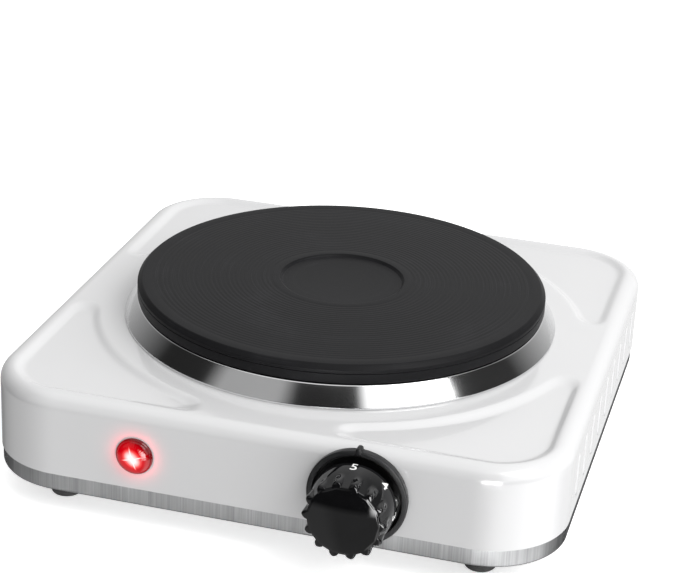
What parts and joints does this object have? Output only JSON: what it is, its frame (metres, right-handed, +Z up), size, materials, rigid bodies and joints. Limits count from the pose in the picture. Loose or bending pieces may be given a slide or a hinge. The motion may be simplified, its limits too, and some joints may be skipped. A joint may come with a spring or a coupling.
{
  "type": "hot plate burner",
  "caption": "Free-standing electric cooker with a cast iron plate on a polished ring, enamelled housing, temperature knob and pilot lamp.",
  "frame": {"origin": "centre of the bounding box on the surface that the feet stand on", "axes": "+Z up, -Y out of the front wall through the knob, +X to the user's right"},
  "size_m": [0.2504, 0.276, 0.0726],
  "materials": {
    "enamel": "white vitreous enamel, glossy with faint waviness",
    "pan_steel": "plain steel, fine vertical grain, satin",
    "polished_steel": "polished stainless steel, mirror bright",
    "cast_iron": "machined cast iron with black heatproof coating, satin",
    "black_plastic": "black phenolic moulding, glossy",
    "rubber": "black rubber, matt",
    "red_lens": "red translucent lens, glossy, lit from behind",
    "zinc_steel": "zinc plated steel, satin",
    "brass": "plain brass, slightly dull",
    "ceramic": "unglazed steatite, matt",
    "refractory": "pressed magnesia filling, matt",
    "mica": "mica sheet, silky",
    "resistance_wire": "oxidised nickel chrome wire, dull",
    "aluminised_steel": "aluminised steel sheet, satin",
    "nylon": "black nylon moulding, matt",
    "sleeve": "woven glass fibre sleeving, matt",
    "earth_sleeve": "green and yellow insulated lead, matt"
  },
  "bodies": {
    "housing": {"housing_shell": "enamel", "base_pan": "pan_steel", "trim_ring": "polished_steel", "cast_iron_plate": "cast_iron", "insulation_outer": "refractory", "insulation_inner": "refractory", "heating_coil_outer": "resistance_wire", "heating_coil_inner": "resistance_wire", "mica_disc": "mica", "plate_cover": "aluminised_steel", "centre_stud": "zinc_steel", "clamp_bridge": "zinc_steel", "bridge_nut": "zinc_steel", "heat_shield": "aluminised_steel", "shield_nut": "zinc_steel", "plate_terminal_block": "ceramic", "plate_terminal_neutral": "brass", "plate_terminal_live": "brass", "knob_bezel": "black_plastic", "thermostat_bush": "brass", "thermostat_frame": "zinc_steel", "thermostat_stack": "ceramic", "bimetal_leaf": "zinc_steel", "thermostat_tab_in": "brass", "thermostat_tab_out": "brass", "mount_screw_left": "zinc_steel", "mount_screw_right": "zinc_steel", "lamp_lens": "red_lens", "lamp_body": "nylon", "lamp_retaining_ring": "zinc_steel", "mains_gland": "nylon", "gland_nut": "nylon", "mains_terminal_block": "nylon", "terminal_block_screw": "zinc_steel", "earth_screw": "brass", "lead_mains_live": "sleeve", "lead_plate_live": "sleeve", "lead_plate_neutral": "sleeve", "lamp_lead_live": "sleeve", "lamp_lead_neutral": "sleeve", "earth_lead": "earth_sleeve", "foot_front_left": "rubber", "foot_screw_front_left": "zinc_steel", "pillar_front_left": "zinc_steel", "foot_front_right": "rubber", "foot_screw_front_right": "zinc_steel", "pillar_front_right": "zinc_steel", "foot_rear_left": "rubber", "foot_screw_rear_left": "zinc_steel", "pillar_rear_left": "zinc_steel", "foot_rear_right": "rubber", "foot_screw_rear_right": "zinc_steel", "pillar_rear_right": "zinc_steel"},
    "knob": {"control_knob": "black_plastic", "knob_spring_clip": "zinc_steel", "thermostat_spindle": "brass"},
    "switch_pin": {"thermostat_pin": "ceramic"},
    "contact_leaf": {"moving_contact_leaf": "brass"}
  },
  "joints": [
    {"name": "knob_turn", "type": "hinge", "parent": "housing", "child": "knob", "pos_m": [0.0435, -0.113, 0.0354], "axis": [0, 1, 0], "range_deg": [-240, 0]},
    {"name": "pin_slide", "type": "slide", "parent": "housing", "child": "switch_pin", "axis": [0, 1, 0], "range_m": [-0.0013, 0]},
    {"name": "leaf_flex", "type": "hinge", "parent": "housing", "child": "contact_leaf", "pos_m": [0.0318, -0.0957, 0.0354], "axis": [0, 0, 1], "range_deg": [-6.42, 0]}
  ],
  "couplings": [
    {"joint": "pin_slide", "follows": "knob_turn", "m_per_rad": 0.00029842},
    {"joint": "leaf_flex", "follows": "knob_turn", "ratio": 0.025506}
  ]
}
